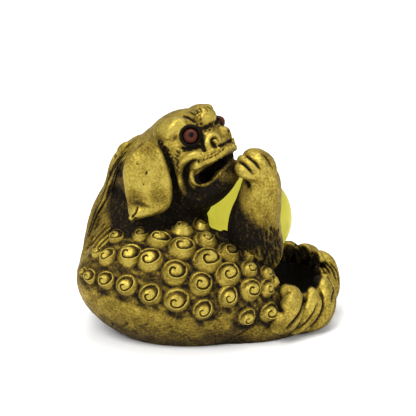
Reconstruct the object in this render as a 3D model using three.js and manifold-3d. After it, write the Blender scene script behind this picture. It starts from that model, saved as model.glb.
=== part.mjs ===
// A small cast brass pixiu that lies curled round a stone ball and bites its raised forepaw.
// Millimetres, +Z up, origin on the ground under the middle of the figure. +X is the tail end, -X the
// back with the mane, and -Y the near side, towards which the head is turned.
import * as THREE from "three";
import { mergeVertices } from "three/addons/utils/BufferGeometryUtils.js";
import Module from "manifold-3d";

const wasm = await Module();
wasm.setup();

const TURN = 2 * Math.PI;
const NEAR = -1;
const FAR = 1;

// Driving dimensions
const middle = [0.61, 0.23]; // where the middle of the figure lies in the coordinates used below
const ball = { at: [7.6, 5.7, 18.9], radius: 8.7 };
const seatGap = 0.3; // clearance between an inlaid or cradled piece and the casting
const ground = { size: 90, depth: 30 };

// The two flanks are egg shapes, tilted so that the tail end lies lower, and cut flat by the ground.
const nearFlank = { at: [-5.5, -6.1, 9.5], radii: [19.4, 11.4, 12.0], turn: [0, 8, 0] };
const farFlank = { at: [-4.4, 7.0, 6.8], radii: [18.8, 10.6, 10.2], turn: [0, 5, 0] };
const chest = { at: [-6.5, 0.5, 17], radii: [7, 7, 12] };
const belly = { at: [5, -0.5, 3.5], radii: [17, 13, 7.5] };

// The neck runs down into the back, from the head to the ground.
const back = {
  path: [[-6, 1.2, 34.5], [-10, 1, 29.5], [-12.2, 1, 22], [-13.2, 1, 13], [-12.8, 1, 5], [-12, 1, -2]],
  radii: [6.5, 8.4, 9, 10, 11, 9],
  thick: 1.15,
};

// Locks of the mane lie fanned round the back, from the bearing first to last.
const mane = {
  first: -68,
  last: 82,
  count: 8,
  spine: [[-8.5, 34.2], [-10.8, 28], [-12.4, 21], [-13.3, 13], [-13, 8]],
  reach: [6, 8, 8.8, 9.8, 10.4],
  radii: [0.9, 1.7, 1.9, 1.7, 0.7],
};

// The tail lies in a ring round a hollow. Its locks climb the outside and fold over the rim.
const tail = { at: [15.6, 1.4, 3.6], radii: [9.0, 10.9, 6.6] };
const tailHollow = { at: [16.0, 1.2, 10.2], radii: [5.8, 7.6, 8.2] };
const tailLocks = { first: -112, last: 114, count: 9, lean: 28, slope: 0.1 };
const tailLockRadii = [1.8, 2.7, 2.6, 2.1, 1.3];

// The near foreleg rises between flank and ball, and its toes bend over to the mouth.
const nearLeg = {
  path: [[8.6, -3.8, 8], [8.8, -5.6, 15], [8.6, -6.3, 20.5], [8.9, -6.4, 25.5], [9.8, -6.3, 30],
    [8.8, -6.2, 33.6]],
  radii: [4.8, 5.2, 5.2, 4.7, 4.3, 2.8],
  thick: 0.95,
};
const toePaths = [
  [[10.2, -9.0, 28.8], [8.6, -9.2, 32.4], [6.7, -9.2, 33.4], [5.2, -8.9, 32.5]],
  [[11.2, -7.6, 30.0], [9.6, -7.6, 33.2], [7.6, -7.5, 34.5], [5.6, -7.3, 34.1]],
  [[12.0, -5.8, 30.6], [10.5, -5.7, 33.9], [8.6, -5.6, 34.9], [6.8, -5.6, 34.3]],
  [[12.4, -4.0, 30.4], [11.3, -3.9, 32.8], [10.0, -3.8, 33.7], [8.6, -3.8, 33.3]],
];
const toeRadii = [1.4, 1.9, 1.6, 0.9];

// The far foreleg reaches round the back of the ball and rests its paw on it.
const farLeg = {
  path: [[-8, 6, 20], [-5, 11, 20.5], [0, 15, 20], [6, 16.4, 19.6], [10.5, 15, 19.6]],
  radii: [4, 4.4, 3.8, 3.2, 2.4],
  thick: 0.9,
  face: [0, 0, 1],
};

// The ears hang beside the neck: flat drops, the near one with a small roll at its tip.
const ears = [
  { at: [-11.4, -7.9, 29.6], radii: [4.6, 1.9, 6.8], turn: [-6, 4, 0] },
  { at: [-12.6, -8.6, 24.6], radii: [2.3, 1.5, 1.6], turn: [0, 12, 0] },
  { at: [-5.0, 8.6, 29.6], radii: [4.6, 1.9, 6.8], turn: [6, 4, 0] },
];

// The head has a frame of its own, with its origin between the eyes: x forward, y to the far side, z up.
const head = { at: [-0.5, -2.9, 39.5], yaw: -32, pitch: 35 };
const eye = { at: [-0.1, 4.8, 0], out: [0.72, 0.68, 0.1], bead: 1.35, rim: 2.1, sunk: 0.9 };

// Curls stand on the near flank in rows, from its crest down: the latitude of a row, the longitudes of
// its first and last curl, how many there are and how large.
const curlRows = [
  { latitude: 69, from: -80, to: 60, count: 5, size: 1.9 },
  { latitude: 49, from: -70, to: 58, count: 7, size: 2.4 },
  { latitude: 29, from: -72, to: 60, count: 8, size: 2.3 },
  { latitude: 9, from: -60, to: 46, count: 7, size: 2.2 },
];
const curlRowTilt = 20;

const brass = new THREE.MeshStandardMaterial({ color: 0xa98f3c, roughness: 0.38, metalness: 1 });
const yellowStone = new THREE.MeshStandardMaterial({ color: 0xc3c03c, roughness: 0.25, metalness: 0 });
const eyeGlass = new THREE.MeshStandardMaterial({ color: 0x6e3226, roughness: 0.15, metalness: 0 });

const radians = (degrees) => (degrees * Math.PI) / 180;
const vector = (p) => new THREE.Vector3(...p);
const joined = (solids) => solids.reduce((whole, next) => whole.add(next));
const onBothSides = (make) => [make(NEAR), make(FAR)];

// A closed three.js geometry as a solid that can be joined and cut.
function solidOf(geometry, nearness = 1e-4) {
  geometry.deleteAttribute("normal");
  geometry.deleteAttribute("uv");
  const merged = mergeVertices(geometry, nearness);
  return new wasm.Manifold(
    new wasm.Mesh({
      numProp: 3,
      vertProperties: merged.getAttribute("position").array,
      triVerts: new Uint32Array(merged.index.array),
    }),
  );
}

function geometryOf(solid) {
  const { vertProperties, triVerts } = solid.getMesh();
  const geometry = new THREE.BufferGeometry();
  geometry.setAttribute("position", new THREE.BufferAttribute(vertProperties, 3));
  geometry.setIndex(new THREE.BufferAttribute(triVerts, 1));
  return geometry;
}

// The outer body alone, without sealed hollows or the scraps that crossing surfaces leave.
function mainBody(solid) {
  const bodies = solidOf(geometryOf(solid), 2e-3).decompose();
  return bodies.reduce((a, b) => (b.volume() > a.volume() ? b : a));
}

function placement(at, turn = [0, 0, 0]) {
  const rotation = new THREE.Matrix4().makeRotationFromEuler(new THREE.Euler(...turn.map(radians)));
  return rotation.setPosition(...at);
}

const headFrame = placement(head.at, [0, 0, head.yaw]).multiply(placement([0, 0, 0], [0, -head.pitch, 0]));

// A closed form with a pole at each end: pointAt(t, angle) gives a point at t from 0 to 1 along it.
function closedForm(around, along, pointAt) {
  const grid = new THREE.SphereGeometry(1, around, along);
  const position = grid.getAttribute("position");
  for (let i = 0; i < position.count; i++) {
    const row = Math.floor(i / (around + 1));
    const column = (i % (around + 1)) % around;
    position.setXYZ(i, ...pointAt(row / along, (column / around) * TURN).toArray());
  }
  return solidOf(grid);
}

// An egg-shaped mass. frame, if given, is the frame that its place and turn are measured in.
function egg({ at, radii, turn }, around, along, frame = new THREE.Matrix4()) {
  const geometry = new THREE.SphereGeometry(1, around, along).rotateX(Math.PI / 2).scale(...radii);
  return solidOf(geometry.applyMatrix4(placement(at, turn)).applyMatrix4(frame));
}

const globe = (at, radius) => ({ at, radii: [radius, radius, radius] });

// A limb, lock or ridge along a path, with round ends. radii are its half widths along the path, thick is
// its thickness against its width, and face is the direction that its broad side looks in.
function limb({ path, radii, thick = 1, face = [0, -1, 0] }, around, along, frame = new THREE.Matrix4()) {
  const route = new THREE.CatmullRomCurve3(path.map(vector), false, "centripetal");
  const widths = new THREE.CatmullRomCurve3(radii.map((r, i) => new THREE.Vector3(i, r, 0)));
  return closedForm(around, along, (t, angle) => {
    const s = (t + (1 - Math.cos(Math.PI * t)) / 2) / 2; // steps are shorter towards the ends
    const tangent = route.getTangent(s);
    const side = vector(face).cross(tangent).normalize();
    const out = tangent.clone().cross(side);
    const width = widths.getPoint(s).y * Math.sqrt(Math.max(Math.sin(Math.PI * t), 0));
    const point = route.getPoint(s).addScaledVector(side, -Math.cos(angle) * width);
    return point.addScaledVector(out, Math.sin(angle) * width * thick).applyMatrix4(frame);
  });
}

// One curl is a dome with a snail-like turn: a knob, a groove that winds round it, and an outer turn.
const curlRings = [
  { reach: 0, rise: 0.6 },
  { reach: 0.3, rise: 0.5 },
  { reach: 0.46, rise: 0.3 },
  { reach: 0.72, rise: 0.44 },
  { reach: 1, rise: -0.1 },
  { reach: 0, rise: -0.6 },
];
function curl(at, outward, size, spin) {
  const look = new THREE.Quaternion().setFromUnitVectors(new THREE.Vector3(0, 0, 1), outward);
  const last = curlRings.length - 1;
  return closedForm(6, last, (t, angle) => {
    const ring = Math.round(t * last);
    const { reach, rise } = curlRings[ring];
    const growth = ring < last - 1 ? 1.25 - (0.45 * angle) / TURN : 1;
    const spread = -size * reach * growth;
    const point = new THREE.Vector3(Math.cos(angle + spin), Math.sin(angle + spin), 0);
    return point.multiplyScalar(spread).setZ(size * rise).applyQuaternion(look).add(at);
  });
}

function flankCurls() {
  const shape = placement(nearFlank.at, nearFlank.turn);
  const lean = placement([0, 0, 0], [0, curlRowTilt, 0]);
  const radii = vector(nearFlank.radii);
  return curlRows.flatMap(({ latitude, from, to, count, size }, row) =>
    Array.from({ length: count }, (_, i) => {
      const longitude = radians(from + ((to - from) * i) / (count - 1));
      const level = radians(latitude);
      const toward = new THREE.Vector3(Math.sin(longitude), NEAR * Math.cos(longitude), Math.tan(level));
      toward.normalize().applyMatrix4(lean);
      const at = toward.clone().multiply(radii).applyMatrix4(shape);
      const outward = toward.clone().divide(radii).transformDirection(shape);
      return curl(at, outward, size, row + i);
    }),
  );
}

function maneLocks() {
  return Array.from({ length: mane.count }, (_, i) => {
    const bearing = radians(mane.first + ((mane.last - mane.first) * i) / (mane.count - 1));
    const out = [-Math.cos(bearing), Math.sin(bearing)];
    const path = mane.spine.map(([x, z], k) => [
      x + out[0] * mane.reach[k],
      1 + out[1] * mane.reach[k] * back.thick,
      z,
    ]);
    return limb({ path, radii: mane.radii, thick: 0.7, face: [...out, 0] }, 5, 5);
  });
}

function locksOfTail() {
  const { first, last, count, lean, slope } = tailLocks;
  return Array.from({ length: count }, (_, i) => {
    const bearing = first + ((last - first) * i) / (count - 1);
    const stops = [
      [-lean, 0.82, 0.8],
      [-lean / 2, 0.96, 4.6],
      [0, 0.93, 8.2],
      [3, 0.76, 9.5],
      [-4, 0.64, 8.5],
    ];
    const path = stops.map(([sweep, reach, z]) => {
      const x = Math.cos(radians(bearing + sweep)) * tail.radii[0] * reach;
      const y = Math.sin(radians(bearing + sweep)) * tail.radii[1] * reach;
      return [tail.at[0] + x, tail.at[1] + y, z + (slope * y * z) / 9];
    });
    const face = [Math.cos(radians(bearing)), Math.sin(radians(bearing)), 0.2];
    return limb({ path, radii: tailLockRadii, thick: 0.75, face }, 6, 6);
  });
}

// A point on the axis of an eye, so far in front of the middle of its bead.
function eyeAt(side, forward) {
  const out = vector(eye.out).normalize();
  return [eye.at[0] + out.x * forward, side * (eye.at[1] + out.y * forward), eye.at[2] + out.z * forward];
}

// A ridge that runs round the front of the muzzle, from the near corner of the mouth to the far one.
function lip(nearHalf, front, radii) {
  const farHalf = nearHalf.map(([x, y, z]) => [x, -y, z]).reverse();
  const widths = [...radii, ...radii.slice(0, -1).reverse()];
  return limb({ path: [...nearHalf, front, ...farHalf], radii: widths, face: [0, 0, 1] }, 5, 9, headFrame);
}

function headMasses() {
  const inHead = (shape, around, along) => egg(shape, around, along, headFrame);
  return [
    inHead({ at: [-6.3, 0, -0.9], radii: [8.6, 7.4, 7] }, 12, 9), // skull
    inHead({ at: [-9.5, 0, -6.5], radii: [7.5, 6.2, 6.4] }, 10, 6), // throat
    inHead({ at: [-0.8, 0, -4.5], radii: [3.6, 5, 2.2] }, 12, 6), // muzzle
    inHead({ at: [-5.3, 0, -10.9], radii: [6.2, 5, 2.5], turn: [0, -10, 0] }, 12, 6), // jaw
    inHead({ at: [1, 0, -2.5], radii: [2.4, 2.6, 1.8] }, 10, 6), // nose
    inHead({ at: [0.4, 0, 2.6], radii: [2.4, 2.6, 2.3] }, 10, 6), // knob on the forehead
    ...onBothSides((side) =>
      joined([
        // cheek, brow, wing of the nose, and the mound that the eye is set in
        inHead({ at: [-2.9, side * 4.7, -3.7], radii: [3.2, 1.9, 2.2], turn: [0, 20, side * 12] }, 9, 6),
        inHead({ at: [-4.2, side * 4.9, 3.4], radii: [3.6, 2.2, 2.2], turn: [0, 10, side * -12] }, 9, 6),
        inHead({ at: [1.2, side * 1.8, -3], radii: [1.4, 1.1, 1.2] }, 7, 4),
        inHead(globe(eyeAt(side, -eye.sunk), eye.rim), 9, 5),
      ]),
    ),
  ];
}

function headSolid() {
  const mouth = egg({ at: [-0.8, 0, -7.4], radii: [4.4, 7, 1.5], turn: [0, -8, 0] }, 12, 6, headFrame);
  const tongue = egg({ at: [-3.6, 0, -8.4], radii: [3.6, 2.8, 1.9] }, 9, 6, headFrame);
  const corner = [-4.4, -5.6, -6.9];
  const upperLip = lip([corner, [-1.5, -5, -6], [2, -3, -5.5]], [3.3, 0, -5.4], [0.6, 0.75, 0.8, 0.85]);
  const underMouth = [corner, [-4.6, -5.1, -8.8], [-3.1, -3.6, -9.7]];
  const lowerLip = lip(underMouth, [-0.6, 0, -8.3], [0.5, 0.8, 0.8, 0.8]);
  const cuts = onBothSides((side) => {
    const fold = [[-1.2, 5.7, -4.9], [-4.2, 6, -4.9], [-6.5, 6, -6.8], [-6.4, 5.6, -9.2], [-4.4, 4.6, -11]];
    const path = fold.map(([x, y, z]) => [x, side * y, z]);
    return joined([
      limb({ path, radii: [0.3, 0.55, 0.6, 0.55, 0.3], face: [0, side, 0] }, 5, 5, headFrame), // cheek fold
      egg({ at: [2.6, side * 1.7, -3.3], radii: [1, 0.55, 0.55] }, 6, 4, headFrame), // nostril
      egg(globe(eyeAt(side, 0), eye.bead + seatGap), 10, 7, headFrame), // socket
    ]);
  });
  return joined([joined(headMasses()).subtract(mouth), tongue, upperLip, lowerLip]).subtract(joined(cuts));
}

function figure() {
  const body = joined([
    egg(nearFlank, 16, 10),
    egg(farFlank, 14, 9),
    egg(chest, 9, 6),
    egg(belly, 14, 8),
    egg(tail, 16, 8),
    limb(back, 12, 8),
    ...maneLocks(),
    ...ears.map((ear) => egg(ear, 10, 7)),
    headSolid(),
  ]).subtract(egg(tailHollow, 14, 8));
  const toes = toePaths.map((path) => limb({ path, radii: toeRadii }, 6, 5));
  const limbs = joined([limb(nearLeg, 10, 9), ...toes, limb(farLeg, 9, 7)]);
  const floor = new THREE.BoxGeometry(ground.size, ground.size, ground.depth);
  floor.translate(0, 0, -ground.depth / 2);
  return mainBody(
    joined([body, limbs, ...locksOfTail(), ...flankCurls()])
      .subtract(egg(globe(ball.at, ball.radius + seatGap), 16, 10))
      .subtract(solidOf(floor)),
  );
}

const group = new THREE.Group();
group.position.set(-middle[0], -middle[1], 0);

function addMesh(name, geometry, material, at = [0, 0, 0]) {
  const mesh = new THREE.Mesh(geometry, material);
  mesh.name = name;
  mesh.position.set(...at);
  group.add(mesh);
}

addMesh("figure", geometryOf(figure()), brass);
addMesh("ball", new THREE.SphereGeometry(ball.radius, 16, 10).rotateX(Math.PI / 2), yellowStone, ball.at);
const eyeMiddle = (side) => vector(eyeAt(side, 0)).applyMatrix4(headFrame).toArray();
addMesh("eye_right", new THREE.SphereGeometry(eye.bead, 10, 7), eyeGlass, eyeMiddle(NEAR));
addMesh("eye_left", new THREE.SphereGeometry(eye.bead, 10, 7), eyeGlass, eyeMiddle(FAR));

export default group;
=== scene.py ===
import math

import bmesh
import bpy
import numpy as np
from mathutils import Euler, Matrix, Vector
from mathutils.bvhtree import BVHTree


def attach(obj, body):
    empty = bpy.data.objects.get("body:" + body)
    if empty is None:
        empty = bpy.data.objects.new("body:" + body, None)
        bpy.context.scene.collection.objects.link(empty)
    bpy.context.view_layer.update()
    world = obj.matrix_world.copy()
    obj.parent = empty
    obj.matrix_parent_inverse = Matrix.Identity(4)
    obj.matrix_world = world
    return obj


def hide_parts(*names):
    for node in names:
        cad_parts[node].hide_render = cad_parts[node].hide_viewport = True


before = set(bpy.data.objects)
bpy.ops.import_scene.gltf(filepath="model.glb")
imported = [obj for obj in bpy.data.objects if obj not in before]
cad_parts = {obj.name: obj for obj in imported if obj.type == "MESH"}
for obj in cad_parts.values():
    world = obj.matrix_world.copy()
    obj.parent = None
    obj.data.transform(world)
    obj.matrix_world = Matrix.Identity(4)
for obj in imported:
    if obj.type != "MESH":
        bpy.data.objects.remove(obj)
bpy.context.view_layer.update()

benchMiddle = Vector((0.61, 0.23, 0))
benchToRow = Matrix.Scale(0.001, 4) @ Matrix.Translation(-benchMiddle)
nearSide, farSide = -1, 1


# small helpers for shapes


def turned(degrees):
    return Euler([math.radians(a) for a in degrees], "ZYX").to_matrix().to_4x4()


def unit(vectors):
    return vectors / np.maximum(np.linalg.norm(vectors, axis=-1, keepdims=True), 1e-9)


def eased(x, low, high):
    t = np.clip((x - low) / (high - low), 0, 1)
    return t * t * (3 - 2 * t)


def curveAt(stops, s):
    # a smooth curve through the stops; s runs from 0 to 1
    p = np.asarray(stops, float)
    p = p[:, None] if p.ndim == 1 else p
    p = np.vstack([2 * p[0] - p[1], p, 2 * p[-1] - p[-2]])
    x = np.clip(s, 0, 1) * (len(p) - 3)
    i = np.minimum(x.astype(int), len(p) - 4)
    t = (x - i)[:, None]
    a, b, c, d = (p[i + k] for k in range(4))
    return 0.5 * (2 * b + (c - a) * t + (2 * a - 5 * b + 4 * c - d) * t**2 + (3 * b - a - 3 * c + d) * t**3)


def placesOf(verts):
    return np.array([v.co for v in verts], float)


def moveTo(verts, places):
    for v, p in zip(verts, places):
        v.co = p


def addEgg(bm, at, radii, turn=(0, 0, 0), within=Matrix(), around=40):
    place = within @ Matrix.Translation(at) @ turned(turn) @ Matrix.Diagonal((*radii, 1))
    bmesh.ops.create_uvsphere(bm, u_segments=around, v_segments=around // 2, radius=1, matrix=place)


def addLock(bm, path, radii, thick=1, face=(0, -1, 0), around=20, along=36, blunt=0.5):
    # a round sphere is drawn out along the path; face is where its broad side looks
    verts = bmesh.ops.create_uvsphere(bm, u_segments=around, v_segments=along, radius=1)["verts"]
    sphere = placesOf(verts)
    t = np.arccos(np.clip(-sphere[:, 2], -1, 1)) / math.pi
    s = (t + (1 - np.cos(math.pi * t)) / 2) / 2
    angle = np.arctan2(sphere[:, 1], sphere[:, 0])
    ahead = curveAt(path, np.minimum(s + 0.01, 1)) - curveAt(path, np.maximum(s - 0.01, 0))
    looks = curveAt(face, s) if np.ndim(face) == 2 else np.array(face, float)
    side = unit(np.cross(looks, ahead))
    out = unit(np.cross(ahead, side))
    width = curveAt(radii, s) * (np.maximum(np.sin(math.pi * t), 0) ** blunt)[:, None]
    aside, above = np.cos(angle)[:, None] * side, thick * np.sin(angle)[:, None] * out
    moveTo(verts, curveAt(path, s) + width * (aside + above))


def addRing(bm, place, radius, wire):
    # a thin round bar bent into a ring round the place's own z
    where = place @ Matrix.Translation((radius, 0, 0)) @ turned((90, 0, 0))
    bar = bmesh.ops.create_circle(bm, segments=12, radius=wire, matrix=where)["verts"]
    edges = list({e for v in bar for e in v.link_edges})
    axis = place.to_3x3() @ Vector((0, 0, 1))
    bmesh.ops.spin(
        bm, geom=bar + edges, cent=place.translation, axis=axis, angle=2 * math.pi, steps=48, use_merge=True
    )


def objectFrom(bm, name):
    bmesh.ops.recalc_face_normals(bm, faces=bm.faces)
    mesh = bpy.data.meshes.new(name)
    bm.to_mesh(mesh)
    bm.free()
    made = bpy.data.objects.new(name, mesh)
    bpy.context.scene.collection.objects.link(made)
    return made


def asShown(made):
    return made.evaluated_get(bpy.context.evaluated_depsgraph_get())


def applied(made):
    old, made.data = made.data, bpy.data.meshes.new_from_object(asShown(made))
    made.modifiers.clear()
    made.data.name = made.name
    bpy.data.meshes.remove(old)
    return made


def smoothing(made, rounds):
    settle = made.modifiers.new("settle", "SMOOTH")
    settle.factor = 0.5
    settle.iterations = rounds


def fused(made, grain, rounds):
    # separate masses become one skin, as clay pressed together; grain is the size of its faces
    fuse = made.modifiers.new("fuse", "REMESH")
    fuse.mode = "VOXEL"
    fuse.voxel_size = grain
    smoothing(made, rounds)
    return applied(made)


def cutBy(made, cutter):
    cut = made.modifiers.new("cut", "BOOLEAN")
    cut.operation = "DIFFERENCE"
    cut.solver = "MANIFOLD"
    cut.object = cutter
    applied(made)
    bpy.data.objects.remove(cutter)
    return made


def joinedBm(*objects):
    bm = bmesh.new()
    for o in objects:
        bm.from_mesh(o.data)
    return bm


def discard(*objects):
    for o in objects:
        bpy.data.objects.remove(o)


def readOff(places, name="co"):
    flat = np.empty(len(places) * 3)
    places.foreach_get(name, flat)
    return flat.reshape(-1, 3)


def pointsOf(made):
    return readOff(made.data.vertices)


def normalsOf(made):
    return readOff(made.data.vertex_normals, "vector")


def reshaped(made, points):
    made.data.vertices.foreach_set("co", np.asarray(points, float).ravel())
    made.data.update()


def pushed(made, height):
    # moves the skin along its own normals, never below the table
    places = pointsOf(made) + normalsOf(made) * np.asarray(height)[:, None]
    places[:, 2] = np.maximum(places[:, 2], 0)
    reshaped(made, places)


def keepValues(made, name, values):
    # "own" is the darkness that a piece brings along, "patina" is all of it, painted shade included
    made.data.attributes.new(name, "FLOAT", "POINT").data.foreach_set("value", values)


def hollowsOf(made, rounds):
    # how deep each place lies below its softened neighbourhood
    co, normal = pointsOf(made), normalsOf(made)
    smoothing(made, rounds)
    soft = readOff(asShown(made).data.vertices)
    made.modifiers.clear()
    return ((soft - co) * normal).sum(1)


def ripple(points, size, seed):
    # soft lumps of about that size, from -1 to 1
    random = np.random.default_rng(seed)
    total = np.zeros(len(points))
    for wave in range(9):
        way = unit(random.normal(size=3)) * 2 * math.pi / (size * random.uniform(0.75, 1.4))
        total += np.sin(points @ way + random.uniform(0, 2 * math.pi))
    return total / 4.5


def farFrom(points, path, samples=60):
    # distance of each point to a smooth path, and how far along the path its nearest place is
    line = curveAt(path, np.linspace(0, 1, samples))
    nearest = np.full(len(points), 1e9)
    where = np.zeros(len(points))
    for k in range(samples - 1):
        a, b = line[k], line[k + 1]
        span = b - a
        t = np.clip((points - a) @ span / (span @ span), 0, 1)
        away = np.linalg.norm(points - a - t[:, None] * span, axis=1)
        closer = away < nearest
        nearest[closer] = away[closer]
        where[closer] = (k + t[closer]) / (samples - 1)
    return nearest, where


def scored(points, lines):
    # grooves drawn on a skin, each a path, a half width and a depth; a negative depth raises a welt
    depth, welt, mark = np.zeros((3, len(points)))
    for path, width, deep in lines:
        low, high = np.min(path, 0) - 3 * width, np.max(path, 0) + 3 * width
        near = np.nonzero(np.all((points > low) & (points < high), axis=1))[0]
        away, where = farFrom(points[near], path, 24)
        line = np.sin(math.pi * np.clip(where, 0.03, 0.97)) ** 0.4 * np.exp(-((away / width) ** 2))
        if deep > 0:
            depth[near] = np.maximum(depth[near], deep * line)
            mark[near] = np.maximum(mark[near], line * min(1, deep / 0.3))
        else:
            welt[near] = np.maximum(welt[near], -deep * line)
    return depth - welt, mark


def engraved(made, lines, waves):
    # gives the skin its soft lumps and cuts the lines in; tells where they are
    co = pointsOf(made)
    depth, mark = scored(co, lines)
    pushed(made, sum(amount * ripple(co, size, seed) for amount, size, seed in waves) - depth)
    return co, mark


def treeOf(*objects):
    points, faces, start = [], [], 0
    for o in objects:
        points += [v.co for v in o.data.vertices]
        faces += [[start + i for i in p.vertices] for p in o.data.polygons]
        start += len(o.data.vertices)
    return BVHTree.FromPolygons(points, faces)


def cutEgg(made, at, radii):
    bm = bmesh.new()
    addEgg(bm, at, radii, around=64)
    return cutBy(made, objectFrom(bm, "eggCutter"))


def cutSeat(made):
    # room for the ball
    return cutEgg(made, ball["at"], [ball["radius"] + ball["gap"]] * 3)


def flatUnderneath(made):
    bm = bmesh.new()
    below = Matrix.Translation((0, 0, -20)) @ Matrix.Diagonal((120, 120, 40, 1))
    bmesh.ops.create_cube(bm, size=1, matrix=below)
    return cutBy(made, objectFrom(bm, "tableTop"))


# the photograph is square, taken from here; places on it are given in its pixels, across and down
view = {"aim": (0.095, 0.91, 22.5), "rise": 20, "away": 420, "lens": 191.3, "sensor": 36, "pixels": 416}


def sightLine(u, v):
    rise, scale = math.radians(view["rise"]), view["sensor"] / view["lens"] / view["pixels"]
    ahead = np.array((0, math.cos(rise), -math.sin(rise)))
    up = np.array((0, math.sin(rise), math.cos(rise)))
    across, down = (u - view["pixels"] / 2) * scale, (v - view["pixels"] / 2) * scale
    way = unit(ahead + across * np.array((1, 0, 0)) - down * up)
    return view["aim"] - view["away"] * ahead, way


def seenAt(u, v, y):
    # where the line of sight through a pixel meets the upright plane at that depth
    start, way = sightLine(u, v)
    return start + way * (y - start[1]) / way[1]


def seenOn(tree, u, v):
    # the place of the skin that is seen through a pixel, and its normal
    start, way = sightLine(u, v)
    return tree.ray_cast(Vector(start), Vector(way))[:2]


def traced(tree, stops, lift=0.0):
    # a line drawn over the photograph, laid on the skin that is seen there
    seen = [seenOn(tree, u, v) for u, v in curveAt(stops, np.linspace(0, 1, 3 * len(stops)))]
    return [hit + normal * lift for hit, normal in seen if hit is not None]


def strokes(area, count, length, lean, width, deep, seed):
    # short hairs or scratches scattered over a part of the photograph, running down it
    random = np.random.default_rng(seed)
    made = []
    for k in range(count):
        u, v = random.uniform(area[0], area[2]), random.uniform(area[1], area[3])
        long, tilt = length * random.uniform(0.6, 1.3), random.uniform(*lean)
        stops = [(u, v), (u + 0.45 * tilt * long, v + 0.5 * long), (u + 1.1 * tilt * long, v + long)]
        made.append((stops, width * random.uniform(0.8, 1.3), deep * (1 if k % 3 else -0.9)))
    return made


def settled(path):
    points = np.array(path).reshape(-1, 3)
    points[1:-1] = (points[:-2] + 2 * points[1:-1] + points[2:]) / 4
    return points


def drawnOn(tree, lines):
    return [(traced(tree, stops), width, deep) for stops, width, deep in lines]


def laid(tree, lines):
    # drawn lines brought softly onto the skin; those that mostly miss it are left out
    return [(settled(path), width, deep) for path, width, deep in drawnOn(tree, lines) if len(path) > 3]


# the stone ball

ball = {"at": (7.6, 5.7, 18.9), "radius": 8.7, "gap": 0.08, "waves": [(0.035, 7, 3)]}


def makeBall():
    bm = bmesh.new()
    place = Matrix.Translation(ball["at"])
    bmesh.ops.create_icosphere(bm, subdivisions=6, radius=ball["radius"], matrix=place)
    made = objectFrom(bm, "stoneBall")
    engraved(made, [], ball["waves"])
    return made


# the body: flanks, back, belly and the ring of the tail, as one soft clay form

body = {
    "eggs": [
        {"at": (-5.5, -6.1, 9.5), "radii": (19.4, 11.4, 12.0), "turn": (0, 8, 0)},  # near flank
        {"at": (-4.4, 7.0, 6.8), "radii": (18.8, 10.6, 10.2), "turn": (0, 5, 0)},  # far flank
        {"at": (-6.5, 0.5, 17), "radii": (7, 7, 12)},  # chest
        {"at": (5, -0.5, 3.5), "radii": (17, 13, 7.5)},  # belly
        {"at": (15.6, 1.4, 3.6), "radii": (9.0, 10.9, 6.6)},  # ring of the tail
    ],
    "back": [(-10, 1, 30), (-12.2, 1, 22), (-13.2, 1, 13), (-12.8, 1, 5), (-12, 1, -2)],
    "backRadii": [7.9, 9, 10, 11, 9],
    "hollow": {"at": (16.0, 1.2, 10.2), "radii": (5.8, 7.6, 8.2)},
    "clay": 0.45,
    "grain": 0.31,
    "hammered": 0.045,
    "hair": 0.22,
    "scratches": {"area": (92, 288, 262, 336), "count": 34, "length": 6, "lean": (-1.6, 1.2), "width": 0.26,
                  "deep": 0.07, "seed": 9},
}


def insideHollow(co):
    outward = (co - body["hollow"]["at"]) / body["hollow"]["radii"]
    return 1 - eased(np.linalg.norm(outward, axis=1), 1.03, 1.12)


def makeBody():
    bm = bmesh.new()
    for egg in body["eggs"]:
        addEgg(bm, around=64, **egg)
    addLock(bm, body["back"], body["backRadii"], thick=1.15, around=48, along=48)
    made = fused(objectFrom(bm, "body"), body["clay"], 10)
    cutEgg(made, **body["hollow"])
    cutSeat(made)
    flatUnderneath(fused(made, body["grain"], 3))
    co = pointsOf(made)
    # fine hair runs up the wall of the hollow
    outward, within = co - body["hollow"]["at"], insideHollow(co)
    bearing = np.arctan2(outward[:, 1], outward[:, 0])
    hair = np.abs(np.sin(bearing * 17 + 0.6 * np.sin(outward[:, 2] * 0.9 + 3 * bearing)))
    lumps = body["hammered"] * (ripple(co, 1.1, 5) + 0.8 * ripple(co, 0.7, 6))
    depth, mark = scored(co, laid(treeOf(made), strokes(**body["scratches"])))
    pushed(made, lumps - depth - body["hair"] * within * (1 - hair**0.7))
    keepValues(made, "own", 0.9 * within + 0.5 * mark)
    return made


# curls on the flanks

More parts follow.
